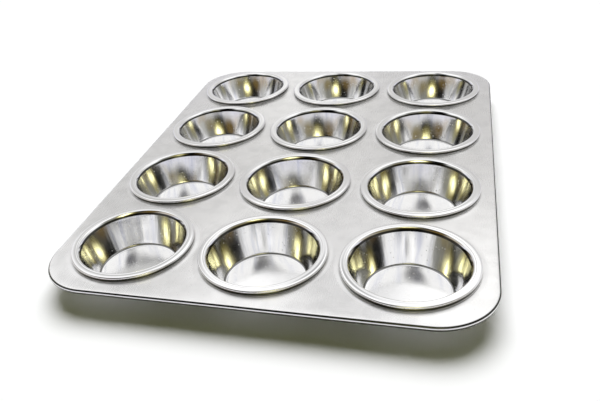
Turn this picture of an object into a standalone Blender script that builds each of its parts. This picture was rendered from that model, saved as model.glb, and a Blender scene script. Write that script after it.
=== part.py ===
"""A muffin pan: drawn cups seamed into one stamped sheet with a wired edge.

Metres, +Z up. The origin is the pan's centre on the surface that it stands on. +X runs
across the columns of cups, and +Y runs along the rows from the front edge to the back.
"""
import math

import bmesh
import bpy

# Layout of the cups
COLUMNS = ("left", "middle", "right")
ROW_COUNT = 4
RIM_GAP = 0.0075             # flat sheet between two neighbouring rims
EDGE_MARGIN = 0.0099         # from an outer rim to the pan's edge
CORNER_RADIUS = 0.036

# Metal, and the gap that two touching pieces keep
SHEET_THICKNESS = 0.0005
CUP_THICKNESS = 0.0005
CLEARANCE = 0.0003

# Inside of a cup
CUP_DEPTH = 0.0195           # the floor, below the top of the sheet
FLOOR_RADIUS = 0.0267        # where the wall would meet the floor
FLOOR_FILLET = 0.0020
WALL_BULGE = 0.0005          # how far the wall's middle stands out from a straight wall
MOUTH_RADIUS = 0.0358        # where the neck would meet the rim's flat
NECK_DRAFT = 0.0014          # how far the neck closes in, down to the crease
CREASE_HEIGHT = 0.0007       # the crease between wall and neck, above the sheet

# Rolled rim of a cup
RIM_WIDTH = 0.0049           # from the mouth to the rim's outer side
RIM_HEIGHT = 0.0036          # the crest, above the sheet
RIM_OUTER_DROP = 0.0002      # the rim's outer edge lies below its crest
INNER_ROUNDING = 0.0014      # from the neck to the rim's flat
RIM_ROUNDING = 0.0011        # from the flat down to the skirt
HEM_GAP = 0.0016             # from the hem's edge to the collar inside it

# Collar of the sheet, which the rim is rolled over
COLLAR_BEND = 0.0008
LIP_BEND = 0.0010
LIP_CLEARANCE = 0.0009       # from the lip's edge to the inside of the rim

# Rolled edge of the sheet
WIRE_DIAMETER = 0.0020
CURL_SWEEP = math.radians(290)

# Facets
CUP_SIDES = 20
CORNER_STEPS = 6
CURL_STEPS = 12
WIRE_SIDES = 8
BEND_STEPS = 1
FLOOR_STEPS = 2
RIM_STEPS = 2

# Places that follow from the sizes
SHEET_TOP = CUP_THICKNESS + CUP_DEPTH
SHEET_MIDDLE = SHEET_TOP - SHEET_THICKNESS / 2
RIM_RADIUS = MOUTH_RADIUS + RIM_WIDTH
CUP_PITCH = 2 * RIM_RADIUS + RIM_GAP
HALF_WIDTH = (len(COLUMNS) - 1) / 2 * CUP_PITCH + RIM_RADIUS + EDGE_MARGIN
HALF_LENGTH = (ROW_COUNT - 1) / 2 * CUP_PITCH + RIM_RADIUS + EDGE_MARGIN
COLLAR_RADIUS = MOUTH_RADIUS + CLEARANCE
RIM_CREST = SHEET_TOP + RIM_HEIGHT - CUP_THICKNESS / 2
CURL_RADIUS = WIRE_DIAMETER / 2 + CLEARANCE + SHEET_THICKNESS / 2
CURL_INSET = CURL_RADIUS + SHEET_THICKNESS / 2
CURL_HEIGHT = SHEET_MIDDLE - CURL_RADIUS


def clear_scene():
    for old in list(bpy.data.objects):
        bpy.data.objects.remove(old, do_unlink=True)


def metal(name, colour, roughness):
    """One bare metal finish."""
    material = bpy.data.materials.new(name)
    material.use_nodes = True
    shader = material.node_tree.nodes["Principled BSDF"]
    shader.inputs["Base Color"].default_value = (*colour, 1.0)
    shader.inputs["Metallic"].default_value = 1.0
    shader.inputs["Roughness"].default_value = roughness
    return material


def arc(centre, radius, start, end, steps):
    """Points on an arc in a profile plane, from angle start to angle end."""
    angles = [start + (end - start) * i / steps for i in range(steps + 1)]
    return [(centre[0] + radius * math.cos(a), centre[1] + radius * math.sin(a)) for a in angles]


def fillet(before, corner, after, radius, steps):
    """The corner of a profile, replaced by a tangent arc."""
    to_before = math.atan2(before[1] - corner[1], before[0] - corner[0])
    to_after = math.atan2(after[1] - corner[1], after[0] - corner[0])
    half = math.remainder(to_after - to_before, math.tau) / 2
    bisector = to_before + half
    reach = radius / abs(math.sin(half))
    centre = (corner[0] + reach * math.cos(bisector), corner[1] + reach * math.sin(bisector))
    turn = math.copysign(math.pi / 2 - abs(half), -half)
    return arc(centre, radius, bisector + math.pi - turn, bisector + math.pi + turn, steps)


def bulged(low, high, bulge):
    """The middle of a wall that stands out, to its right, from a straight line."""
    length = math.hypot(high[0] - low[0], high[1] - low[1])
    out = bulge / length
    return ((low[0] + high[0]) / 2 + out * (high[1] - low[1]),
            (low[1] + high[1]) / 2 - out * (high[0] - low[0]))


def offset(points, distance):
    """A profile moved sideways, to its left where the distance is positive."""
    normals = []
    for (x0, y0), (x1, y1) in zip(points, points[1:]):
        length = math.hypot(x1 - x0, y1 - y0)
        normals.append(((y0 - y1) / length, (x1 - x0) / length))
    moved = []
    for i, (x, y) in enumerate(points):
        first = normals[max(i - 1, 0)]
        second = normals[min(i, len(normals) - 1)]
        scale = distance / (1 + first[0] * second[0] + first[1] * second[1])
        moved.append((x + (first[0] + second[0]) * scale, y + (first[1] + second[1]) * scale))
    return moved


def thicken(middle, thickness):
    """The outline of a bent sheet: along its left side, round its end and back.

    The first point of the middle line lies on the flat that the bends start from. It only
    gives that flat's direction, and isn't in the outline.
    """
    left = offset(middle, thickness / 2)[1:]
    right = offset(middle, -thickness / 2)[1:]
    return left + right[::-1]


def ring(mesh, radius, height, centre=(0.0, 0.0)):
    """A closed loop of vertices round an upright axis."""
    loop = []
    for i in range(CUP_SIDES):
        angle = math.tau * i / CUP_SIDES
        place = (centre[0] + radius * math.cos(angle), centre[1] + radius * math.sin(angle), height)
        loop.append(mesh.verts.new(place))
    return loop


def edge_loop(mesh, inset, height):
    """A closed loop of vertices parallel to the pan's outline."""
    loop = []
    radius = CORNER_RADIUS - inset
    corners = ((1, 1), (-1, 1), (-1, -1), (1, -1))
    for number, (side_x, side_y) in enumerate(corners):
        centre_x = side_x * (HALF_WIDTH - CORNER_RADIUS)
        centre_y = side_y * (HALF_LENGTH - CORNER_RADIUS)
        start = number * math.pi / 2
        for x, y in arc((centre_x, centre_y), radius, start, start + math.pi / 2, CORNER_STEPS):
            loop.append(mesh.verts.new((x, y, height)))
    return loop


def skin(mesh, loops):
    """Faces between each loop and the next."""
    for low, high in zip(loops, loops[1:]):
        for i in range(len(low)):
            j = (i + 1) % len(low)
            mesh.faces.new((low[i], low[j], high[j], high[i]))


def loop_edges(mesh, loop):
    return [mesh.edges.get((loop[i - 1], loop[i])) for i in range(len(loop))]


def finished_mesh(mesh, name, material):
    """The closed mesh as Blender data, faces out, shaded smooth except at its hard edges."""
    bmesh.ops.recalc_face_normals(mesh, faces=mesh.faces)
    data = bpy.data.meshes.new(name)
    mesh.to_mesh(data)
    mesh.free()
    data.materials.append(material)
    data.shade_smooth()
    data.set_sharp_from_angle(angle=math.radians(50))
    return data


def cup_profile():
    """The middle of the cup's metal, from the centre of the floor to the edge of the hem."""
    half = CUP_THICKNESS / 2
    floor = (0.0, half)
    crease = (MOUTH_RADIUS - NECK_DRAFT + half, SHEET_TOP + CREASE_HEIGHT)
    corner = (FLOOR_RADIUS + half, half)
    wall_middle = bulged(corner, crease, WALL_BULGE)
    neck_top = (MOUTH_RADIUS + half, RIM_CREST)
    shoulder = (RIM_RADIUS - half, RIM_CREST - RIM_OUTER_DROP)
    hem_height = SHEET_TOP + CLEARANCE + half
    skirt = (RIM_RADIUS - half, hem_height)
    hem = (COLLAR_RADIUS + SHEET_THICKNESS / 2 + HEM_GAP, hem_height)
    return ([floor] + fillet(floor, corner, wall_middle, FLOOR_FILLET, FLOOR_STEPS)
            + [wall_middle, crease]
            + fillet(crease, neck_top, shoulder, INNER_ROUNDING - half, RIM_STEPS)
            + fillet(neck_top, shoulder, skirt, RIM_ROUNDING - half, RIM_STEPS) + [skirt, hem])


def cup_mesh(material):
    mesh = bmesh.new()
    outline = thicken(cup_profile(), CUP_THICKNESS)
    rings = [ring(mesh, radius, height) for radius, height in outline]
    skin(mesh, rings)
    mesh.faces.new(rings[0])
    mesh.faces.new(rings[-1])
    return finished_mesh(mesh, "cup", material)


def collar_profile():
    """The middle of the sheet round a hole: bent up, then out under the cup's rim."""
    half = SHEET_THICKNESS / 2
    flat = (RIM_RADIUS, SHEET_MIDDLE)
    lip_height = RIM_CREST - CUP_THICKNESS / 2 - RIM_OUTER_DROP - CLEARANCE - half
    lip_edge = (RIM_RADIUS - CUP_THICKNESS - LIP_CLEARANCE, lip_height)
    base = arc((COLLAR_RADIUS + COLLAR_BEND, SHEET_MIDDLE + COLLAR_BEND), COLLAR_BEND,
               -math.pi / 2, -math.pi, BEND_STEPS)
    top = arc((COLLAR_RADIUS + LIP_BEND, lip_height - LIP_BEND), LIP_BEND,
              math.pi, math.pi / 2, BEND_STEPS)
    return [flat] + base + top + [lip_edge]


def curl_outline():
    """The rolled edge, as inset and height: round the outside, then back inside the curl."""
    centre = (CURL_INSET, CURL_HEIGHT)
    start = math.pi / 2
    end = start + CURL_SWEEP
    outside = arc(centre, CURL_RADIUS + SHEET_THICKNESS / 2, start, end, CURL_STEPS)
    inside = arc(centre, CURL_RADIUS - SHEET_THICKNESS / 2, end, start, CURL_STEPS)
    return outside + inside


def cup_places():
    """Name and centre of every cup, row by row from the front."""
    for row in range(ROW_COUNT):
        for column, side in enumerate(COLUMNS):
            x = (column - (len(COLUMNS) - 1) / 2) * CUP_PITCH
            y = (row - (ROW_COUNT - 1) / 2) * CUP_PITCH
            yield f"cup_row{row + 1}_{side}", (x, y)


def frame_sheet_mesh(material):
    """The stamped sheet: two flat skins, joined by the collars and by the rolled edge."""
    mesh = bmesh.new()
    curl = [edge_loop(mesh, inset, height) for inset, height in curl_outline()]
    skin(mesh, curl)
    top_edges = loop_edges(mesh, curl[0])
    bottom_edges = loop_edges(mesh, curl[-1])
    outline = thicken(collar_profile(), SHEET_THICKNESS)
    for name, centre in cup_places():
        collar = [ring(mesh, radius, height, centre) for radius, height in outline]
        skin(mesh, collar)
        bottom_edges += loop_edges(mesh, collar[0])
        top_edges += loop_edges(mesh, collar[-1])
    for edges in (top_edges, bottom_edges):
        bmesh.ops.triangle_fill(mesh, edges=edges, use_beauty=True, normal=(0.0, 0.0, 1.0))
    return finished_mesh(mesh, "frame_sheet", material)


def rim_wire_mesh(material):
    mesh = bmesh.new()
    circle = arc((CURL_INSET, CURL_HEIGHT), WIRE_DIAMETER / 2, 0.0, math.tau, WIRE_SIDES)[:-1]
    loops = [edge_loop(mesh, inset, height) for inset, height in circle]
    skin(mesh, loops + loops[:1])
    return finished_mesh(mesh, "rim_wire", material)


def place(name, data, parent, location=(0.0, 0.0, 0.0)):
    piece = bpy.data.objects.new(name, data)
    piece.location = location
    piece.parent = parent
    bpy.context.scene.collection.objects.link(piece)
    return piece


def main():
    clear_scene()
    sheet_finish = metal("satin_tinplate", (0.80, 0.80, 0.79), 0.30)
    cup_finish = metal("bright_tinplate", (0.82, 0.82, 0.81), 0.12)
    wire_finish = metal("steel_wire", (0.56, 0.56, 0.57), 0.40)

    pan = place("pan", None, None)
    place("frame_sheet", frame_sheet_mesh(sheet_finish), pan)
    place("rim_wire", rim_wire_mesh(wire_finish), pan)
    cup = cup_mesh(cup_finish)
    for name, (x, y) in cup_places():
        place(name, cup, pan, (x, y, 0.0))


main()
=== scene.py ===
"""The looks of the muffin pan: fine sheet-metal meshes and procedural metal round the frame.

Lengths are in metres, in the frame's own axes: +X across the columns, +Y to the back, +Z up.
The cups stand on z = 0.
"""
import math
import random

import bmesh
import bpy
from mathutils import Euler, Matrix, Vector, noise


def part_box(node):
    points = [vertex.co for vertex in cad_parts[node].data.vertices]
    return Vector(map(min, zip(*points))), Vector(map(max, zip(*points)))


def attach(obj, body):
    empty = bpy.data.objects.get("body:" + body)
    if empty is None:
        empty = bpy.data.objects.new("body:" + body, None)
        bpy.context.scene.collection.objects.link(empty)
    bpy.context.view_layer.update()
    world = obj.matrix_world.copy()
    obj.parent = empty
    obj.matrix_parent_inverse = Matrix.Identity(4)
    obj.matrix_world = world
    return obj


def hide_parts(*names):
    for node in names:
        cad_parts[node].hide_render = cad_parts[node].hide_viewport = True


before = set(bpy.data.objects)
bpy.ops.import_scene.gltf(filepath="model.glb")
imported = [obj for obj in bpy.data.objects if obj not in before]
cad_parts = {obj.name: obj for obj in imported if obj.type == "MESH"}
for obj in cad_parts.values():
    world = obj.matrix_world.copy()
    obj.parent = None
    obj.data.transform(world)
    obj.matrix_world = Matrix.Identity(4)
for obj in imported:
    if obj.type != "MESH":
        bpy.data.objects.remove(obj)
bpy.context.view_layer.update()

# Photograph and camera
PHOTO_WIDTH = 600             # in pixels, as the next two are
FOCAL_PIXELS = 643.5
PRINCIPAL_X = 261.35
SENSOR_WIDTH = 36.0           # in millimetres
CAMERA_PLACE = Vector((0.1096, -0.4404, 0.2541))
CAMERA_DOWN = math.radians(30.94)
CAMERA_LEFT = math.radians(19.10)
CAMERA_ROLL = math.radians(6.95)
CAMERA_NEAREST = 0.01

# Metal
SHEET_THICKNESS = 0.0005
CUP_THICKNESS = 0.0005
CLEARANCE = 0.0003            # between the layers of a seam, and round the wire

# Cup, from its floor to its hem
FLOOR_RADIUS = 0.0267         # where the wall would meet the floor
FLOOR_FILLET = 0.0015
RING_RADIUS = 0.0254          # the shallow ring pressed into the floor, just inside the wall
RING_DEPTH = 0.00013
RING_WIDTH = 0.00042
WALL_BULGE = 0.0005           # how far the wall's middle stands out from a straight wall
CREASE_RADIUS = 0.0344        # the crease between the wall and the flared neck
CREASE_DROP = 0.0029          # the crease, below the crest
CREASE_ROUNDING = 0.0006
NECK_BULGE = 0.00002          # how far the neck's middle stands in from a straight neck
MOUTH_RADIUS = 0.0358         # where the neck would meet the rim's flat
INNER_ROUNDING = 0.0012       # from the neck to the rim's flat
RIM_HEIGHT = 0.0036           # the crest, above the sheet
RIM_OUTER_DROP = 0.0002       # how far the flat falls towards the skirt
RIM_ROUNDING = 0.0011         # from the flat down to the skirt
LINE_RADIUS = 0.0373          # the fine line pressed into the rim's flat
LINE_DEPTH = 0.00009
LINE_WIDTH = 0.00012
HEM_BEND = 0.0003             # from the skirt in to the hem
HEM_GAP = 0.0016              # from the collar's outer face to the hem's edge

# Unevenness of a cup, which fades towards its rim and the middle of its floor
LOBES = (2, 3, 4, 5, 7)
LOBE_SIZE = 0.00003
TRUE_FLOOR_RADIUS = 0.6 * FLOOR_RADIUS
TRUE_RIM_WIDTH = 0.0045       # from the rim's outside in to where the fading starts
TRUE_RIM_FADE = 0.0015        # from there out to where the rim is true
FLOOR_DISH = 0.00008          # the most that a floor's middle stands up
DISH_RADIUS = 0.9 * FLOOR_RADIUS

# Sheet, round a cup
COLLAR_RADIUS = 0.0362        # the middle of the collar's metal
COLLAR_BEND = 0.0008
LIP_BEND = 0.0010
LIP_CLEARANCE = 0.0009        # from the lip's edge to the skirt
SEAM_RISE = 0.00025           # how far the collar's bending draws the sheet up beside each rim
SEAM_RISE_WIDTH = 0.0035
SEAM_FALL_WIDTH = 0.0015      # how far the rise goes on under the rim
WAVE_SIZE = 0.00022
WAVES_A_METRE = 14
RIPPLE_SIZE = 0.00005
RIPPLES_A_METRE = 38
WAVE_SEED = 3.7
RIPPLE_SEED = 9.1

# Rolled edge
WIRE_DIAMETER = 0.0020
CURL_SWEEP = math.radians(290)
CORNER_RADIUS = 0.036

# Studio: a white light tent round the pan, which only its reflections show. A patch on it is
# (bearing from the front, height, half width, half height) in degrees, its softness and tone.
FLOOR_SIZE = 6.0
FLOOR_COLOUR = (0.97, 0.97, 0.97, 1)
FLOOR_GLOW = (0.008, 0.008, 0.0, 1)
FLOOR_ROUGHNESS = 0.9
WORLD_LIGHT = (0.05, 0.056, 0.0, 1)
OVERHEAD_STRENGTH = 3.5
OVERHEAD_COLOUR = (1.0, 1.0, 1.05)
OVERHEAD_PLACE = Vector((-0.05, 0.50, 1.0))
OVERHEAD_SPREAD = math.radians(52)
TORCH_PLACE = Vector((0.145, -0.449, 0.245))
TORCH_WIDTH = 0.13
TORCH_HEIGHT = 0.075
TORCH_POWER = 0.03
TORCH_COLOUR = (1.0, 0.96, 0.34)
TENT_CENTRE = Vector((0.06, 0.01, 0.0))
TENT_RADIUS = 0.526
TENT_TOP_TONE = (1.15, 1.155, 1.18, 1)
TENT_BACK_TONE = (0.66, 0.655, 0.655, 1)
TENT_TOP_START = (30, 54)     # heights between which the top takes over, in degrees
TENT_BACK_START = (80, 150)   # bearings between which the back takes over
TENT_PATCHES = (
    (0, 2, 400, 10, 0.6, (0.74, 0.74, 0.84)),
    (-160, 54, 12, 7, 0.7, (0.48, 0.48, 0.49)),
    (165, 54, 14, 9, 0.8, (1.5, 1.5, 1.5)),
    (-137, 50, 9, 7, 0.8, (1.4, 1.4, 1.42)),
    (-119, 33, 12, 12, 0.8, (0.60, 0.60, 0.60)),
    (-158, 19, 12, 7, 0.8, (1.0, 1.0, 1.0)),
    (-70, 14, 22, 5, 0.7, (0.44, 0.33, 0.19)),
    (75, 14, 20, 5, 0.7, (0.44, 0.34, 0.20)),
    (-75, 20, 18, 8, 0.6, (0.52, 0.52, 0.50)),
    (78, 20, 18, 8, 0.6, (0.50, 0.50, 0.48)),
    (42, 31, 32, 17, 0.5, (0.25, 0.25, 0.22)),
    (-22, 30, 36, 15, 0.5, (0.05, 0.05, 0.042)),
    (-32, 35, 19, 12, 0.6, (0.004, 0.004, 0.004)),
    (8, 20, 24, 7, 0.5, (0.012, 0.012, 0.010)),
    (14, 40, 17, 9, 0.6, (0.30, 0.29, 0.17)),
    (-36, 19, 18, 5, 0.7, (0.15, 0.10, 0.03)),
    (45, 21, 17, 5, 0.7, (0.24, 0.20, 0.10)),
    (9, 30, 17, 7, 0.9, (0.46, 0.37, 0.10)),
    (10, 29.5, 12, 3.4, 0.9, (3.1, 3.0, 1.7)),
    (-18, 50, 16, 8, 0.7, (0.26, 0.26, 0.26)),
    (45, 48, 20, 6, 0.7, (0.52, 0.52, 0.52)),
    (-4, 66, 25, 8, 0.6, (0.17, 0.17, 0.18)),
)

# Finish. Scales are in ripples a metre, a pair of values is the two ends of a smooth step, and
# a pair of pairs is a band. A scratch is (direction in degrees, scale, width, seed).
SPECK_SCALE = 420
SPECK_GROUP_SCALE = 160
SCRATCH_STRETCH = 0.045
SCRATCH_CORE = 0.4            # the full part of a scratch's width
# Painted shade: the dark tint of the rolled edge's bends, the band under each cup's rim and the
# corner round each cup's floor.
PAINTED_SHADE_COLOUR = (0.06, 0.06, 0.052, 1)

# Finish of the sheet
SHEET_COLOUR = (0.88, 0.872, 0.855)
SHEET_ROUGHNESS = 0.24
SHEET_SMOOTHEST = SHEET_ROUGHNESS - 0.05
SHEET_ROUGHENING = {
    "clouds": 0.10, "grain": 0.06, "specks": 0.25, "scratches": 0.05, "seams": 0.10}
SHEET_DULLING = 0.90
SHEET_DULL_PATCHES = (0.35, 0.75)
SHEET_SPECK_SIZE = (0.05, 0.11)
SHEET_SPECK_GROUPS = (0.52, 0.60)
SHEET_SPECK_STRENGTH = 0.55
SHEET_SPECK_COLOUR = (0.35, 0.34, 0.32, 1)
SHEET_SPECK_SEED = 8.0
SHEET_SCRATCHES = ((24, 230, 0.035, 1.7), (-58, 170, 0.03, 5.2))
GRAIN_SCALE = 2600
GRAIN_STRETCH = (1.0, 0.03, 1.0)
CLOUD_SCALE = 22
HANDLING_SCALE = 90
HANDLING_SEED = 4.0
SHEET_DENT_SCALE = 55
SHEET_DENT_SEED = 2.0
GRAIN_DEPTH = 0.0000005
SHEET_DENT_DEPTH = 0.00005
SCRATCH_DEPTH = 0.000002
SEAM_ROUGH_WIDTH = (0.0035, 0.0010)       # from a rim, outward
GRID_REACH = (1.49, 1.99)                 # in pitches, just short of the outer cells' edges

# Finish of the sheet's bends, and the painted shade on them, by how far its surface faces up
BEND_START = (0.97, 0.80)
BEND_POLISH = 0.85
# Painted shade: the sheet's bends tinted dark where they turn down and where they stand upright or
# turn under, as on the rolled edge
DARK_TURN = ((0.45, 0.65), (0.88, 0.97))            # where the edge turns down
DARK_UNDERSIDE = ((-0.8, -0.4), (0.10, 0.30))       # where the curl turns under

# Finish of the cups
CUP_COLOUR = (0.895, 0.89, 0.878)
CUP_ROUGHNESS = 0.09
CUP_ROUGHENING = {"smears": 0.10, "specks": 0.30, "scratches": 0.25, "floor": 0.06}
CUP_SPECK_SIZE = (0.10, 0.24)
CUP_SPECK_GROUPS = (0.48, 0.58)
CUP_SCRATCHES = ((15, 330, 0.03, 2.9), (-40, 260, 0.025, 7.3))
CUP_SEEDS = 40.0
SMEAR_SCALE = 70
SMEARS = (0.35, 0.8)
DRAWN_AROUND = 0.03
DRAWN_UPWARD = 0.12
STREAK_SCALE = 700
BROAD_STREAK_SCALE = 130
CUP_DENT_SCALE = 60
STREAK_DEPTH = 0.00003
BROAD_STREAK_DEPTH = 0.00014
CUP_DENT_DEPTH = 0.00006
VEIL_SCALE = 260
VEILS = (0.45, 0.75)
VEIL_COLOUR = (0.70, 0.71, 0.77, 1)

# Where a cup's finish changes, and where its painted shade lies, from its crest up or from its
# floor's radius out
RIM_FINISH = (-0.0032, -0.0026)
RIM_POLISH = 0.75
FLOOR_FINISH = (-0.0012, -0.0030)
WALL_FINISH = (-0.0012, 0.002)
# Painted shade: a dark band round the neck and the skirt under the rim, and a dark line in the
# corner round the floor
DARK_CREASE = ((-0.0031, -0.0027), (-0.0017, -0.0012))
DARK_CORNER_START = (-0.0009, -0.0006)
DARK_CORNER_END = (0.0002, 0.0006)
DARK_CORNER_STRENGTH = 0.8

# Finish of the wire
WIRE_COLOUR = (0.50, 0.50, 0.51)
WIRE_ROUGHNESS = 0.4
WIRE_SMOOTHEST = 0.28
WIRE_ROUGHENING = 0.25
WIRE_PATCH_SCALE = 300
WIRE_PATCH_DEPTH = 0.00003

# Facets of the fine meshes
CUP_SIDES = 128
BEND_STEPS = 6
FLOOR_POINTS = (0.0, 0.3, 0.6, 0.8)             # shares of the floor's radius
RING_POINTS = (-2, -1.2, -0.6, 0, 0.6, 1.2)     # in widths of the ring, from its middle
LINE_POINTS = (-2, -1, 0, 1, 2)                 # in widths of the line, from its middle
WALL_STEPS = 12
NECK_STEPS = 8
NECK_POINTS_ROUNDED = 2                         # the last ones, which the rounding replaces
CURL_STEPS = 28
CORNER_STEPS = 24
PLATE_RINGS = 8
PLATE_CROWDING = 1.8                            # how much closer the rings lie towards the cup
WIRE_SIDES = 16
TENT_SEGMENTS = 64
SHARP_ANGLE = math.radians(45)
MERGE_DISTANCE = 0.00002
PLACE_DIGITS = 5
NEARLY_ZERO = 1e-6
UP = (0, 0, 1)


def cup_names():
    return sorted(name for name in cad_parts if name.startswith("cup_"))


def cup_centre(name):
    low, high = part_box(name)
    return (low.x + high.x) / 2, (low.y + high.y) / 2


# Places worked out from the frame
FIRST_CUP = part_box(cup_names()[0])
RIM_RADIUS = (FIRST_CUP[1].x - FIRST_CUP[0].x) / 2
CREST_TOP = FIRST_CUP[1].z
SHEET_TOP = CREST_TOP - RIM_HEIGHT
SHEET_MIDDLE = SHEET_TOP - SHEET_THICKNESS / 2
RIM_CREST = CREST_TOP - CUP_THICKNESS / 2
LIP_HEIGHT = CREST_TOP - CUP_THICKNESS - RIM_OUTER_DROP - CLEARANCE - SHEET_THICKNESS / 2
HALF_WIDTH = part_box("frame_sheet")[1].x
HALF_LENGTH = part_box("frame_sheet")[1].y
CURL_RADIUS = WIRE_DIAMETER / 2 + CLEARANCE + SHEET_THICKNESS / 2
CURL_INSET = CURL_RADIUS + SHEET_THICKNESS / 2
CURL_HEIGHT = SHEET_MIDDLE - CURL_RADIUS
PLATE_HALF_WIDTH = HALF_WIDTH - CURL_INSET
PLATE_HALF_LENGTH = HALF_LENGTH - CURL_INSET
PLATE_CORNER = CORNER_RADIUS - CURL_INSET
CUP_CENTRES = [cup_centre(name) for name in cup_names()]
CUP_PITCH = min(abs(a[0] - b[0]) for a in CUP_CENTRES for b in CUP_CENTRES
                if abs(a[0] - b[0]) > NEARLY_ZERO)


# Profiles, as in a drawing: radius or inset across, height up

def arc(centre, radius, start, end, steps):
    angles = [start + (end - start) * i / steps for i in range(steps + 1)]
    return [(centre[0] + radius * math.cos(a), centre[1] + radius * math.sin(a)) for a in angles]


def fillet(before, corner, after, radius):
    """The corner of a profile, replaced by a tangent arc."""
    to_before = math.atan2(before[1] - corner[1], before[0] - corner[0])
    to_after = math.atan2(after[1] - corner[1], after[0] - corner[0])
    half = math.remainder(to_after - to_before, math.tau) / 2
    bisector = to_before + half
    reach = radius / abs(math.sin(half))
    centre = (corner[0] + reach * math.cos(bisector), corner[1] + reach * math.sin(bisector))
    turn = math.copysign(math.pi / 2 - abs(half), -half)
    return arc(centre, radius, bisector + math.pi - turn, bisector + math.pi + turn, BEND_STEPS)


def rounded(corners):
    """A profile from (point, fillet radius) corners, each with a radius made an arc."""
    points = []
    for i, (corner, radius) in enumerate(corners):
        if radius:
            points += fillet(corners[i - 1][0], corner, corners[i + 1][0], radius)
        else:
            points.append(corner)
    return points


def bulged(low, high, bulge, steps):
    """Points between the ends of a wall that stands out, to its right, in an even curve."""
    across, up = high[0] - low[0], high[1] - low[1]
    length = math.hypot(across, up)
    points = []
    for i in range(1, steps):
        share = i / steps
        out = 4 * bulge * share * (1 - share) / length
        points.append((low[0] + share * across + out * up, low[1] + share * up - out * across))
    return points


def offset(points, distance):
    """A profile moved sideways, to its left where the distance is positive."""
    normals = []
    for (x0, y0), (x1, y1) in zip(points, points[1:]):
        length = math.hypot(x1 - x0, y1 - y0)
        normals.append(((y0 - y1) / length, (x1 - x0) / length))
    moved = []
    for i, (x, y) in enumerate(points):
        first = normals[max(i - 1, 0)]
        second = normals[min(i, len(normals) - 1)]
        scale = distance / (1 + first[0] * second[0] + first[1] * second[1])
        moved.append((x + (first[0] + second[0]) * scale, y + (first[1] + second[1]) * scale))
    return moved


def plain(points):
    """Points of a profile that have no rounding."""
    return [(point, 0) for point in points]


def cup_profile():
    """The middle of the cup's metal, from the floor's centre to the edge of the hem."""
    half = CUP_THICKNESS / 2
    base = [(FLOOR_RADIUS * share, half) for share in FLOOR_POINTS]
    base += [(RING_RADIUS + step * RING_WIDTH, half) for step in RING_POINTS]
    corner = (FLOOR_RADIUS + half, half)
    crease = (CREASE_RADIUS + half, CREST_TOP - CREASE_DROP)
    neck_top = (MOUTH_RADIUS + half, RIM_CREST)
    wall = bulged(corner, crease, WALL_BULGE, WALL_STEPS)
    neck = bulged(crease, neck_top, -NECK_BULGE, NECK_STEPS)[:-NECK_POINTS_ROUNDED]
    line = [(LINE_RADIUS + step * LINE_WIDTH, RIM_CREST) for step in LINE_POINTS]
    skirt = RIM_RADIUS - half
    hem_height = SHEET_TOP + CLEARANCE + half
    hem_edge = COLLAR_RADIUS + SHEET_THICKNESS / 2 + HEM_GAP
    corners = plain(base) + [(corner, FLOOR_FILLET)]
    corners += plain(wall) + [(crease, CREASE_ROUNDING)]
    corners += plain(neck) + [(neck_top, INNER_ROUNDING - half)]
    corners += plain(line) + [((skirt, RIM_CREST - RIM_OUTER_DROP), RIM_ROUNDING - half)]
    corners += [((skirt, hem_height), HEM_BEND), ((hem_edge, hem_height), 0)]
    return rounded(corners)


def collar_profile():
    """The middle of the sheet round a hole: bent up, then out under the cup's rim."""
    base = arc((COLLAR_RADIUS + COLLAR_BEND, SHEET_MIDDLE + COLLAR_BEND), COLLAR_BEND,
               -math.pi / 2, -math.pi, BEND_STEPS)
    top = arc((COLLAR_RADIUS + LIP_BEND, LIP_HEIGHT - LIP_BEND), LIP_BEND,
              math.pi, math.pi / 2, BEND_STEPS)
    lip_edge = (RIM_RADIUS - CUP_THICKNESS - LIP_CLEARANCE, LIP_HEIGHT)
    return [(RIM_RADIUS, SHEET_MIDDLE)] + base + top + [lip_edge]


def ring(mesh, radius, height, centre=(0.0, 0.0)):
    """A level circle of new vertices."""
    loop = []
    for i in range(CUP_SIDES):
        angle = math.tau * i / CUP_SIDES
        place = (centre[0] + radius * math.cos(angle), centre[1] + radius * math.sin(angle), height)
        loop.append(mesh.verts.new(place))
    return loop


def skin(mesh, loops):
    """Faces between each loop and the next."""
    for low, high in zip(loops, loops[1:]):
        for i in range(len(low)):
            j = (i + 1) % len(low)
            mesh.faces.new((low[i], low[j], high[j], high[i]))


def finished_object(mesh, name, material, node, place=(0.0, 0.0, 0.0)):
    """The closed mesh as a piece that rides on the pan and stands for a node of the frame."""
    bmesh.ops.recalc_face_normals(mesh, faces=mesh.faces)
    data = bpy.data.meshes.new(name)
    mesh.to_mesh(data)
    mesh.free()
    data.materials.append(material)
    data.shade_smooth()
    data.set_sharp_from_angle(angle=SHARP_ANGLE)
    piece = bpy.data.objects.new(name, data)
    piece.location = place
    bpy.context.scene.collection.objects.link(piece)
    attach(piece, "root")
    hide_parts(node)


def cup_mesh():
    """A cup's closed mesh, and the set of the vertices of its upper side."""
    mesh = bmesh.new()
    middle = cup_profile()
    upper = offset(middle, CUP_THICKNESS / 2)[1:]
    lower = offset(middle, -CUP_THICKNESS / 2)[1:]
    rings = [ring(mesh, radius, height) for radius, height in upper + lower[::-1]]
    skin(mesh, rings)
    upper_side = {vertex for loop in rings[:len(upper)] for vertex in loop}
    for loop in (rings[0], rings[-1]):
        centre = mesh.verts.new((0.0, 0.0, loop[0].co.z))
        for i in range(len(loop)):
            mesh.faces.new((loop[i - 1], loop[i], centre))
    return mesh, upper_side


def looseness(radius):
    """How much of its unevenness a cup has at a radius, from 0 to 1."""
    share = (radius - TRUE_FLOOR_RADIUS) / (CREASE_RADIUS - TRUE_FLOOR_RADIUS)
    share = min(max(share, 0), 1)
    into_rim = radius - RIM_RADIUS + TRUE_RIM_WIDTH
    if into_rim > 0:
        share *= max(0.0, 1 - into_rim / TRUE_RIM_FADE)
    return share


def groove(radius, middle, depth, width):
    """The depth of a soft round groove at a radius."""
    return depth * math.exp(-((radius - middle) / width) ** 2)


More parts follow.
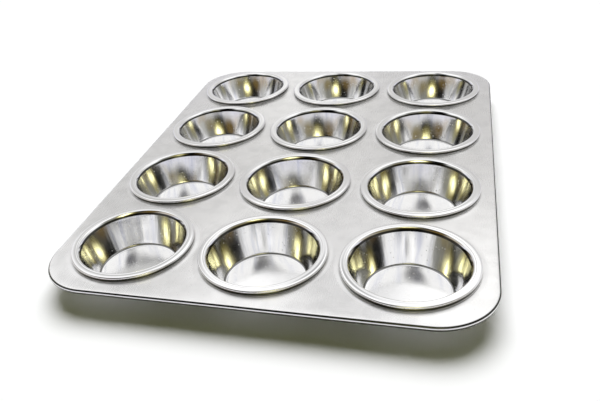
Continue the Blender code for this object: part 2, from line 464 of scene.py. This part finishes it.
def make_cup(node, material):
    """One drawn cup, slightly out of true as pressed metal is."""
    chance = random.Random(node)
    lobes = [(lobe, chance.uniform(0, math.tau), chance.gauss(0, LOBE_SIZE)) for lobe in LOBES]
    dish = abs(chance.uniform(-FLOOR_DISH, FLOOR_DISH))
    mesh, upper_side = cup_mesh()
    for vertex in mesh.verts:
        angle = math.atan2(vertex.co.y, vertex.co.x)
        radius = vertex.co.xy.length
        out = sum(size * math.sin(lobe * angle + phase) for lobe, phase, size in lobes)
        if radius > NEARLY_ZERO:
            vertex.co.xy *= 1 + out * looseness(radius) / radius
        vertex.co.z += dish * max(0.0, 1 - (radius / DISH_RADIUS) ** 2)
        if vertex.co.z > RIM_CREST:
            vertex.co.z -= groove(radius, LINE_RADIUS, LINE_DEPTH, LINE_WIDTH)
        elif vertex in upper_side:
            vertex.co.z -= groove(radius, RING_RADIUS, RING_DEPTH, RING_WIDTH)
    finished_object(mesh, "drawn_" + node, material, node, (*cup_centre(node), 0.0))


def outward(x, y):
    """The plate outline's outward direction at a point on it."""
    core_x, core_y = PLATE_HALF_WIDTH - PLATE_CORNER, PLATE_HALF_LENGTH - PLATE_CORNER
    away = Vector((x - min(max(x, -core_x), core_x), y - min(max(y, -core_y), core_y)))
    return away.normalized()


def cell_limits(centre):
    """A cup's share of the plate: to halfway to a neighbour, or to the rolled edge."""
    limits = []
    for place, half in zip(centre, (PLATE_HALF_WIDTH, PLATE_HALF_LENGTH)):
        low = place - CUP_PITCH / 2 if place - CUP_PITCH > -half else -half
        high = place + CUP_PITCH / 2 if place + CUP_PITCH < half else half
        limits.append((low, high))
    return limits


def cell_angles(centre, limits):
    """Even directions from the cup, with the nearest ones turned to the cell's corners."""
    angles = [math.tau * i / CUP_SIDES for i in range(CUP_SIDES)]
    for x in limits[0]:
        for y in limits[1]:
            angle = math.atan2(y - centre[1], x - centre[0])
            angles[round(angle / math.tau * CUP_SIDES) % CUP_SIDES] = angle
    return angles


def cell_edge(centre, angle, limits):
    """Where the cell ends, in one direction from the cup."""
    direction = (math.cos(angle), math.sin(angle))
    reach = min((limit[part > 0] - place) / part for place, part, limit in
                zip(centre, direction, limits) if abs(part) > NEARLY_ZERO)
    x, y = centre[0] + reach * direction[0], centre[1] + reach * direction[1]
    corner_x = math.copysign(PLATE_HALF_WIDTH - PLATE_CORNER, x)
    corner_y = math.copysign(PLATE_HALF_LENGTH - PLATE_CORNER, y)
    if abs(x) > abs(corner_x) and abs(y) > abs(corner_y):
        back = (centre[0] - corner_x, centre[1] - corner_y)
        along = back[0] * direction[0] + back[1] * direction[1]
        reach = -along + math.sqrt(along ** 2 - back[0] ** 2 - back[1] ** 2 + PLATE_CORNER ** 2)
        x, y = centre[0] + reach * direction[0], centre[1] + reach * direction[1]
    return x, y


def plate_wave(x, y):
    """The slight unevenness of thin sheet held by twelve seams."""
    wave = noise.noise(Vector((x * WAVES_A_METRE, y * WAVES_A_METRE, WAVE_SEED)))
    ripple = noise.noise(Vector((x * RIPPLES_A_METRE, y * RIPPLES_A_METRE, RIPPLE_SEED)))
    return WAVE_SIZE * wave + RIPPLE_SIZE * ripple


def seam_rise(x, y):
    """How far the sheet stands up beside the nearest rim."""
    away = min(math.hypot(x - centre[0], y - centre[1]) for centre in CUP_CENTRES) - RIM_RADIUS
    share = away / SEAM_RISE_WIDTH if away > 0 else -away / SEAM_FALL_WIDTH
    share = min(share, 1.0)
    return SEAM_RISE * (1 - share * share * (3 - 2 * share))


def plate_ring(mesh, centre, edge, step, height):
    """A loop round a cup: at its rim for step 0, at its cell's edge for the last step."""
    share = (step / PLATE_RINGS) ** PLATE_CROWDING
    loop = []
    for i, (edge_x, edge_y) in enumerate(edge):
        angle = math.tau * i / CUP_SIDES
        near_x = centre[0] + RIM_RADIUS * math.cos(angle)
        near_y = centre[1] + RIM_RADIUS * math.sin(angle)
        x, y = near_x + (edge_x - near_x) * share, near_y + (edge_y - near_y) * share
        loop.append(mesh.verts.new((x, y, height)))
    return loop


def add_cell(mesh, centre):
    """The upper and lower side of one cup's share of the plate, with its collar."""
    limits = cell_limits(centre)
    edge = [cell_edge(centre, angle, limits) for angle in cell_angles(centre, limits)]
    collar = collar_profile()
    lips = []
    for height, out in ((SHEET_TOP, SHEET_THICKNESS / 2),
                        (SHEET_TOP - SHEET_THICKNESS, -SHEET_THICKNESS / 2)):
        loops = [plate_ring(mesh, centre, edge, step, height) for step in range(PLATE_RINGS, 0, -1)]
        loops += [ring(mesh, radius, high, centre) for radius, high in offset(collar, out)[1:]]
        skin(mesh, loops)
        lips.append(loops[-1])
    skin(mesh, lips)


def make_sheet(material):
    """The stamped sheet: a plate of ringed cells, the collars, and the rolled edge."""
    mesh = bmesh.new()
    for centre in CUP_CENTRES:
        add_cell(mesh, centre)
    bmesh.ops.remove_doubles(mesh, verts=mesh.verts, dist=MERGE_DISTANCE)
    mesh.normal_update()
    add_curl(mesh)
    for vertex in mesh.verts:
        vertex.co.z += plate_wave(vertex.co.x, vertex.co.y)
        vertex.co.z += seam_rise(vertex.co.x, vertex.co.y)
    finished_object(mesh, "stamped_sheet", material, "frame_sheet")


def free_edge(mesh):
    """The plate's free edge: for each place along it, its upper and its lower vertex."""
    starts = {}
    for edge in mesh.edges:
        if edge.is_boundary:
            for vertex in edge.verts:
                place = (round(vertex.co.x, PLACE_DIGITS), round(vertex.co.y, PLACE_DIGITS))
                starts.setdefault(place, {})[vertex.co.z > SHEET_MIDDLE] = vertex
    return starts


def add_curl(mesh):
    """Rolls the plate's free edge round the wire, from the top skin round to the lower one."""
    starts = free_edge(mesh)
    order = sorted(starts, key=lambda place: math.atan2(place[1], place[0]))
    outside = arc((0.0, CURL_HEIGHT), CURL_RADIUS + SHEET_THICKNESS / 2,
                  math.pi / 2, math.pi / 2 - CURL_SWEEP, CURL_STEPS)
    inside = arc((0.0, CURL_HEIGHT), CURL_RADIUS - SHEET_THICKNESS / 2,
                 math.pi / 2 - CURL_SWEEP, math.pi / 2, CURL_STEPS)
    columns = []
    for place in order:
        away = outward(*place)
        column = [starts[place][True]]
        for out, height in outside[1:] + inside[:-1]:
            column.append(mesh.verts.new((place[0] + away.x * out, place[1] + away.y * out, height)))
        column.append(starts[place][False])
        columns.append(column)
    skin(mesh, [list(loop) for loop in zip(*columns)])


def make_wire(material):
    """The closed wire inside the rolled edge."""
    mesh = bmesh.new()
    loops = []
    for inset, height in arc((CURL_INSET, CURL_HEIGHT), WIRE_DIAMETER / 2, 0.0, math.tau,
                             WIRE_SIDES)[:-1]:
        loop = []
        radius = CORNER_RADIUS - inset
        for number, (side_x, side_y) in enumerate(((1, 1), (-1, 1), (-1, -1), (1, -1))):
            corner = (side_x * (HALF_WIDTH - CORNER_RADIUS), side_y * (HALF_LENGTH - CORNER_RADIUS))
            start = number * math.pi / 2
            for x, y in arc(corner, radius, start, start + math.pi / 2, CORNER_STEPS):
                loop.append(mesh.verts.new((x, y, height)))
        loops.append(loop)
    skin(mesh, loops + loops[:1])
    for vertex in mesh.verts:
        vertex.co.z += plate_wave(vertex.co.x, vertex.co.y)
    finished_object(mesh, "edge_wire", material, "rim_wire")


class Nodes:
    """Short ways to add and join the nodes of one tree."""

    MIX_COLOUR_INPUTS = (0, 6, 7)
    MIX_COLOUR_OUTPUT = 2

    def __init__(self, tree):
        self.tree = tree

    def add(self, kind, **settings):
        node = self.tree.nodes.new(kind)
        for name, value in settings.items():
            setattr(node, name, value)
        return node

    def link(self, source, target):
        self.tree.links.new(source, target)

    def put(self, socket, value):
        """Sets a socket to a number, or joins it to another node's output."""
        if isinstance(value, bpy.types.NodeSocket):
            self.link(value, socket)
        else:
            socket.default_value = value

    def math(self, operation, first, second=0.0):
        node = self.add("ShaderNodeMath", operation=operation)
        self.put(node.inputs[0], first)
        self.put(node.inputs[1], second)
        return node.outputs[0]

    def add_share(self, base, value, share):
        """The base plus a share of the value."""
        node = self.add("ShaderNodeMath", operation="MULTIPLY_ADD")
        self.put(node.inputs[0], value)
        self.put(node.inputs[1], share)
        self.put(node.inputs[2], base)
        return node.outputs[0]

    def ease(self, value, low, high):
        """Rises smoothly from 0 to 1 as the value goes from low to high."""
        node = self.add("ShaderNodeMapRange", interpolation_type="SMOOTHSTEP")
        self.put(node.inputs["Value"], value)
        node.inputs["From Min"].default_value = low
        node.inputs["From Max"].default_value = high
        return node.outputs[0]

    def fade(self, value, low, high):
        """Falls smoothly from 1 to 0 as the value goes from low to high."""
        return self.math("SUBTRACT", 1.0, self.ease(value, low, high))

    def band(self, value, start, end):
        """Is 1 where the value is past its start and short of its end, each a smooth step."""
        return self.math("MULTIPLY", self.ease(value, *start), self.fade(value, *end))

    def dot(self, vector, direction):
        node = self.add("ShaderNodeVectorMath", operation="DOT_PRODUCT")
        self.link(vector, node.inputs[0])
        node.inputs[1].default_value = direction
        return node.outputs["Value"]

    def mix(self, share, first, second):
        """The first colour, or the second where the share is 1."""
        node = self.add("ShaderNodeMix", data_type="RGBA")
        for index, value in zip(self.MIX_COLOUR_INPUTS, (share, first, second)):
            self.put(node.inputs[index], value)
        return node.outputs[self.MIX_COLOUR_OUTPUT]

    def vector(self, operation, first, second):
        node = self.add("ShaderNodeVectorMath", operation=operation)
        self.put(node.inputs[0], first)
        self.put(node.inputs["Scale" if operation == "SCALE" else 1], second)
        return node.outputs[0]

    def unit(self, vector):
        node = self.add("ShaderNodeVectorMath", operation="NORMALIZE")
        self.link(vector, node.inputs[0])
        return node.outputs[0]

    def length(self, vector):
        node = self.add("ShaderNodeVectorMath", operation="LENGTH")
        self.link(vector, node.inputs[0])
        return node.outputs["Value"]

    def noise(self, vector, scale, detail=2.0, seed=0.0):
        """Noise from 0 to 1; the scale is in ripples a metre."""
        node = self.add("ShaderNodeTexNoise", noise_dimensions="4D")
        self.link(vector, node.inputs["Vector"])
        self.put(node.inputs["W"], seed)
        node.inputs["Scale"].default_value = scale
        node.inputs["Detail"].default_value = detail
        return node.outputs["Fac"]

    def cells(self, vector, scale):
        """Distance to the nearest of scattered points, in cells."""
        node = self.add("ShaderNodeTexVoronoi", feature="F1")
        self.link(vector, node.inputs["Vector"])
        node.inputs["Scale"].default_value = scale
        return node.outputs["Distance"]

    def relief(self, heights):
        """One normal from several (height, depth in metres) pairs."""
        normal = None
        for height, depth in heights:
            node = self.add("ShaderNodeBump")
            node.inputs["Strength"].default_value = 1.0
            node.inputs["Distance"].default_value = depth
            self.link(height, node.inputs["Height"])
            if normal is not None:
                self.link(normal, node.inputs["Normal"])
            normal = node.outputs[0]
        return normal


def new_metal(name, colour, roughness):
    """A metal material, its node helper and its shader."""
    material = bpy.data.materials.new(name)
    material.use_nodes = True
    shader = material.node_tree.nodes["Principled BSDF"]
    shader.inputs["Base Color"].default_value = (*colour, 1.0)
    shader.inputs["Metallic"].default_value = 1.0
    shader.inputs["Roughness"].default_value = roughness
    return material, Nodes(material.node_tree), shader


def beside(level, steps):
    """The values of a smooth step, or of several, that are given from a level."""
    return [beside(level, step) if isinstance(step, tuple) else level + step for step in steps]


def scratch_lines(tree, place, turn, scale, width, seed):
    """Thin, short, nearly straight scratches in one direction: 1 on a scratch, else 0."""
    mapping = tree.add("ShaderNodeMapping")
    tree.link(place, mapping.inputs["Vector"])
    mapping.inputs["Rotation"].default_value = (0, 0, math.radians(turn))
    mapping.inputs["Scale"].default_value = (1.0, SCRATCH_STRETCH, 1.0)
    mapping.inputs["Location"].default_value = (seed, seed, 0)
    spot = tree.cells(mapping.outputs[0], scale)
    return tree.fade(spot, width * SCRATCH_CORE, width)


def scratches(tree, place, kinds):
    """Two kinds of scratch, which cross."""
    first, second = (scratch_lines(tree, place, *kind) for kind in kinds)
    return tree.math("MAXIMUM", first, second)


def speckle(tree, place, size, groups, detail, seed):
    """Small round specks in scattered groups: 1 on a speck, else 0."""
    specks = tree.fade(tree.cells(place, SPECK_SCALE), *size)
    where = tree.ease(tree.noise(place, SPECK_GROUP_SCALE, detail, seed), *groups)
    return tree.math("MULTIPLY", specks, where)


def roughened(tree, base, marks, amounts):
    """The base roughness with each kind of mark added to it in its amount."""
    for kind, mark in marks.items():
        base = tree.add_share(base, mark, amounts[kind])
    return base


def from_seam(tree, place):
    """How far a point of the sheet is outside the nearest cup's rim."""
    across, along = (share * CUP_PITCH for share in GRID_REACH)
    inside = tree.vector("MINIMUM", place, (across, along, 1))
    inside = tree.vector("MAXIMUM", inside, (-across, -along, -1))
    cell = tree.add("ShaderNodeVectorMath", operation="WRAP")
    tree.link(inside, cell.inputs[0])
    cell.inputs[1].default_value = (CUP_PITCH / 2, CUP_PITCH, 1)
    cell.inputs[2].default_value = (-CUP_PITCH / 2, 0, -1)
    from_centre = tree.vector("SUBTRACT", cell.outputs[0], (0, CUP_PITCH / 2, 0))
    flat = tree.vector("MULTIPLY", from_centre, (1, 1, 0))
    return tree.math("SUBTRACT", tree.length(flat), RIM_RADIUS)


def sheet_tone(tree, place, specks, upright):
    """Clean plate with slightly duller patches and dark specks, and painted shade on its bends where
    the rolled edge turns down and under.
    """
    handling = tree.noise(place, HANDLING_SCALE, detail=5, seed=HANDLING_SEED)
    dull = tuple(SHEET_DULLING * part for part in SHEET_COLOUR)
    tone = tree.mix(tree.ease(handling, *SHEET_DULL_PATCHES), (*SHEET_COLOUR, 1), (*dull, 1))
    specks = tree.math("MULTIPLY", specks, SHEET_SPECK_STRENGTH)
    tone = tree.mix(specks, tone, SHEET_SPECK_COLOUR)
    # Painted shade on the rolled edge's bends.
    turn = tree.band(upright, *DARK_TURN)
    underside = tree.band(upright, *DARK_UNDERSIDE)
    return tree.mix(tree.math("MAXIMUM", turn, underside), tone, PAINTED_SHADE_COLOUR)


def satin_tinplate():
    """Rolled plate: a satin grain along the sheet, cloudy sheen, light scratches and specks."""
    material, tree, shader = new_metal("satin_tinplate", SHEET_COLOUR, SHEET_ROUGHNESS)
    coordinates = tree.add("ShaderNodeTexCoord")
    place = coordinates.outputs["Object"]
    upright = tree.dot(coordinates.outputs["Normal"], UP)
    grain = tree.noise(tree.vector("MULTIPLY", place, GRAIN_STRETCH), GRAIN_SCALE, detail=3)
    dents = tree.noise(place, SHEET_DENT_SCALE, detail=2, seed=SHEET_DENT_SEED)
    specks = speckle(tree, place, SHEET_SPECK_SIZE, SHEET_SPECK_GROUPS, 2, SHEET_SPECK_SEED)
    lines = scratches(tree, place, SHEET_SCRATCHES)
    marks = {
        "clouds": tree.noise(place, CLOUD_SCALE, detail=3),
        "grain": grain,
        "specks": specks,
        "scratches": lines,
        "seams": tree.ease(from_seam(tree, place), *SEAM_ROUGH_WIDTH)}
    rough = roughened(tree, SHEET_SMOOTHEST, marks, SHEET_ROUGHENING)
    polish = tree.add_share(1.0, tree.ease(upright, *BEND_START), -BEND_POLISH)
    normal = tree.relief(((grain, GRAIN_DEPTH), (dents, SHEET_DENT_DEPTH), (lines, SCRATCH_DEPTH)))
    tree.link(tree.math("MULTIPLY", rough, polish), shader.inputs["Roughness"])
    tree.link(sheet_tone(tree, place, specks, upright), shader.inputs["Base Color"])
    tree.link(normal, shader.inputs["Normal"])
    return material


def drawn_direction(tree, place, flat):
    """Coordinates that are stretched up a cup's wall, for the streaks of its drawing."""
    around = tree.vector("SCALE", tree.unit(flat), DRAWN_AROUND)
    return tree.vector("ADD", around, tree.vector("MULTIPLY", place, (0, 0, DRAWN_UPWARD)))


def cup_painted_shade(tree, reach, height):
    """Painted shade in a band under the rim, round the neck and the skirt, and in the corner round
    the floor: 1 there, else 0.
    """
    crease = tree.band(height, *beside(CREST_TOP, DARK_CREASE))
    start = tree.ease(reach, *beside(FLOOR_RADIUS, DARK_CORNER_START))
    end = tree.ease(reach, *beside(FLOOR_RADIUS, DARK_CORNER_END))
    corner = tree.math("MULTIPLY", start, tree.math("SUBTRACT", DARK_CORNER_STRENGTH, end))
    return tree.math("MAXIMUM", crease, corner)


def bright_tinplate():
    """Drawn and polished plate: streaks down the walls, fine scratches, bright specks."""
    material, tree, shader = new_metal("bright_tinplate", CUP_COLOUR, CUP_ROUGHNESS)
    place = tree.add("ShaderNodeTexCoord").outputs["Object"]
    seed = tree.math("MULTIPLY", tree.add("ShaderNodeObjectInfo").outputs["Random"], CUP_SEEDS)
    flat = tree.vector("MULTIPLY", place, (1, 1, 0))
    reach = tree.length(flat)
    height = tree.dot(place, UP)
    drawn = drawn_direction(tree, place, flat)
    rim = tree.ease(height, *beside(CREST_TOP, RIM_FINISH))
    wall = tree.ease(reach, *beside(FLOOR_RADIUS, WALL_FINISH))
    wall = tree.math("MULTIPLY", wall, tree.math("SUBTRACT", 1.0, rim))
    marks = {
        "smears": tree.ease(tree.noise(place, SMEAR_SCALE, detail=4, seed=seed), *SMEARS),
        "specks": speckle(tree, place, CUP_SPECK_SIZE, CUP_SPECK_GROUPS, 3, seed),
        "scratches": scratches(tree, place, CUP_SCRATCHES),
        "floor": tree.ease(reach, *beside(FLOOR_RADIUS, FLOOR_FINISH))}
    rough = roughened(tree, CUP_ROUGHNESS, marks, CUP_ROUGHENING)
    polish = tree.add_share(1.0, rim, -RIM_POLISH)
    veil = tree.ease(tree.noise(drawn, VEIL_SCALE, detail=3, seed=seed), *VEILS)
    tone = tree.mix(tree.math("MULTIPLY", veil, wall), (*CUP_COLOUR, 1), VEIL_COLOUR)
    # Painted shade under the rim and round the floor's corner.
    tone = tree.mix(cup_painted_shade(tree, reach, height), tone, PAINTED_SHADE_COLOUR)
    tree.link(tree.math("MULTIPLY", rough, polish), shader.inputs["Roughness"])
    tree.link(tone, shader.inputs["Base Color"])
    tree.link(cup_relief(tree, place, drawn, wall, seed), shader.inputs["Normal"])
    return material


def cup_relief(tree, place, drawn, wall, seed):
    """Fine and broad streaks on the wall, and shallow dents all over."""
    streaks = tree.noise(drawn, STREAK_SCALE, detail=4, seed=seed)
    broad = tree.noise(drawn, BROAD_STREAK_SCALE, detail=2, seed=seed)
    streaks, broad = (tree.math("MULTIPLY", tree.math("SUBTRACT", height, 0.5), wall)
                      for height in (streaks, broad))
    dents = tree.noise(place, CUP_DENT_SCALE, detail=2, seed=seed)
    return tree.relief(((streaks, STREAK_DEPTH), (broad, BROAD_STREAK_DEPTH),
                        (dents, CUP_DENT_DEPTH)))


def steel_wire():
    """Plain drawn wire, dull and slightly uneven."""
    material, tree, shader = new_metal("steel_wire", WIRE_COLOUR, WIRE_ROUGHNESS)
    place = tree.add("ShaderNodeTexCoord").outputs["Object"]
    patches = tree.noise(place, WIRE_PATCH_SCALE, detail=4)
    rough = tree.add_share(WIRE_SMOOTHEST, patches, WIRE_ROUGHENING)
    tree.link(rough, shader.inputs["Roughness"])
    tree.link(tree.relief(((patches, WIRE_PATCH_DEPTH),)), shader.inputs["Normal"])
    return material


def make_camera():
    """The camera that the photograph was matched with."""
    data = bpy.data.cameras.new("camera")
    data.sensor_width = SENSOR_WIDTH
    data.lens = FOCAL_PIXELS / PHOTO_WIDTH * SENSOR_WIDTH
    data.shift_x = (PHOTO_WIDTH / 2 - PRINCIPAL_X) / PHOTO_WIDTH
    data.clip_start = CAMERA_NEAREST
    camera = bpy.data.objects.new("camera", data)
    camera.location = CAMERA_PLACE
    look = Euler((math.pi / 2 - CAMERA_DOWN, 0.0, CAMERA_LEFT)).to_matrix()
    camera.rotation_euler = (look @ Matrix.Rotation(-CAMERA_ROLL, 3, "Z")).to_euler()
    bpy.context.scene.collection.objects.link(camera)
    bpy.context.scene.camera = camera


def make_floor():
    """A plain pale floor, which the camera sees as white wherever no shadow falls."""
    mesh = bmesh.new()
    bmesh.ops.create_grid(mesh, x_segments=1, y_segments=1, size=FLOOR_SIZE)
    data = bpy.data.meshes.new("floor")
    mesh.to_mesh(data)
    mesh.free()
    material = bpy.data.materials.new("floor")
    material.use_nodes = True
    tree = Nodes(material.node_tree)
    shader = material.node_tree.nodes["Principled BSDF"]
    shader.inputs["Base Color"].default_value = FLOOR_COLOUR
    shader.inputs["Roughness"].default_value = FLOOR_ROUGHNESS
    shader.inputs["Specular IOR Level"].default_value = 0.0
    shader.inputs["Emission Color"].default_value = FLOOR_GLOW
    path = tree.add("ShaderNodeLightPath")
    tree.link(path.outputs["Is Camera Ray"], shader.inputs["Emission Strength"])
    data.materials.append(material)
    floor = bpy.data.objects.new("floor", data)
    bpy.context.scene.collection.objects.link(floor)


def make_overhead_lamp():
    """One broad, even lamp above the pan, for the shadow beneath it."""
    data = bpy.data.lights.new("overhead_lamp", "SUN")
    data.energy = OVERHEAD_STRENGTH
    data.color = OVERHEAD_COLOUR
    data.angle = OVERHEAD_SPREAD
    lamp = bpy.data.objects.new("overhead_lamp", data)
    lamp.location = OVERHEAD_PLACE
    lamp.rotation_euler = (-OVERHEAD_PLACE).to_track_quat("-Z", "Y").to_euler()
    lamp.visible_glossy = False
    bpy.context.scene.collection.objects.link(lamp)


def make_torch():
    """The small warm lamp that glints on the cups' walls and scratches."""
    data = bpy.data.lights.new("torch", "AREA")
    data.shape = "ELLIPSE"
    data.size = TORCH_WIDTH
    data.size_y = TORCH_HEIGHT
    data.energy = TORCH_POWER
    data.color = TORCH_COLOUR
    lamp = bpy.data.objects.new("torch", data)
    lamp.location = TORCH_PLACE
    lamp.rotation_euler = (-TORCH_PLACE).to_track_quat("-Z", "Y").to_euler()
    lamp.visible_camera = False
    lamp.visible_diffuse = False
    bpy.context.scene.collection.objects.link(lamp)


def tent_colour(tree):
    """The tent's tones by direction: its top and back, then the patches over them."""
    place = tree.add("ShaderNodeSeparateXYZ")
    tree.link(tree.add("ShaderNodeTexCoord").outputs["Object"], place.inputs[0])
    forward = tree.math("MULTIPLY", place.outputs["Y"], -1.0)
    bearing = tree.math("DEGREES", tree.math("ARCTAN2", place.outputs["X"], forward))
    rise = tree.math("DIVIDE", place.outputs["Z"], TENT_RADIUS)
    height = tree.math("DEGREES", tree.math("ARCSINE", rise))
    spot = tree.add("ShaderNodeCombineXYZ")
    tree.link(bearing, spot.inputs["X"])
    tree.link(height, spot.inputs["Y"])
    low = tree.fade(height, *TENT_TOP_START)
    behind = tree.ease(tree.math("ABSOLUTE", bearing), *TENT_BACK_START)
    colour = tree.mix(tree.math("MULTIPLY", low, behind), TENT_TOP_TONE, TENT_BACK_TONE)
    for at, up, half_width, half_height, soft, tone in TENT_PATCHES:
        away = tree.vector("SUBTRACT", spot.outputs[0], (at, up, 0))
        away = tree.vector("MULTIPLY", away, (1 / half_width, 1 / half_height, 0))
        share = tree.ease(tree.length(away), 1 + soft, 1 - soft)
        colour = tree.mix(share, colour, (*tone, 1))
    return colour


def make_tent():
    """The light tent, white above and behind, with the dim opening that the camera looks in by."""
    mesh = bmesh.new()
    bmesh.ops.create_uvsphere(mesh, u_segments=TENT_SEGMENTS, v_segments=TENT_SEGMENTS // 2,
                              radius=TENT_RADIUS)
    data = bpy.data.meshes.new("light_tent")
    mesh.to_mesh(data)
    mesh.free()
    data.shade_smooth()
    material = bpy.data.materials.new("light_tent")
    material.use_nodes = True
    nodes = material.node_tree.nodes
    nodes.remove(nodes["Principled BSDF"])
    tree = Nodes(material.node_tree)
    glow = tree.add("ShaderNodeEmission")
    tree.link(tent_colour(tree), glow.inputs["Color"])
    tree.link(glow.outputs[0], nodes["Material Output"].inputs["Surface"])
    data.materials.append(material)
    tent = bpy.data.objects.new("light_tent", data)
    tent.location = TENT_CENTRE
    tent.visible_camera = False
    tent.visible_diffuse = False
    tent.visible_transmission = False
    tent.visible_volume_scatter = False
    tent.visible_shadow = False
    bpy.context.scene.collection.objects.link(tent)


def make_world():
    """Plain soft light from all round, and a white background."""
    world = bpy.data.worlds.new("studio")
    bpy.context.scene.world = world
    bpy.context.scene.view_settings.view_transform = "Standard"
    world.use_nodes = True
    tree = Nodes(world.node_tree)
    path = tree.add("ShaderNodeLightPath")
    seen = tree.math("MAXIMUM", path.outputs["Is Camera Ray"], path.outputs["Is Glossy Ray"])
    colour = tree.mix(seen, WORLD_LIGHT, (1, 1, 1, 1))
    tree.link(colour, world.node_tree.nodes["Background"].inputs["Color"])


make_camera()
make_floor()
make_world()
make_tent()
make_overhead_lamp()
make_torch()
make_sheet(satin_tinplate())
make_wire(steel_wire())
cup_metal = bright_tinplate()
for cup in cup_names():
    make_cup(cup, cup_metal)
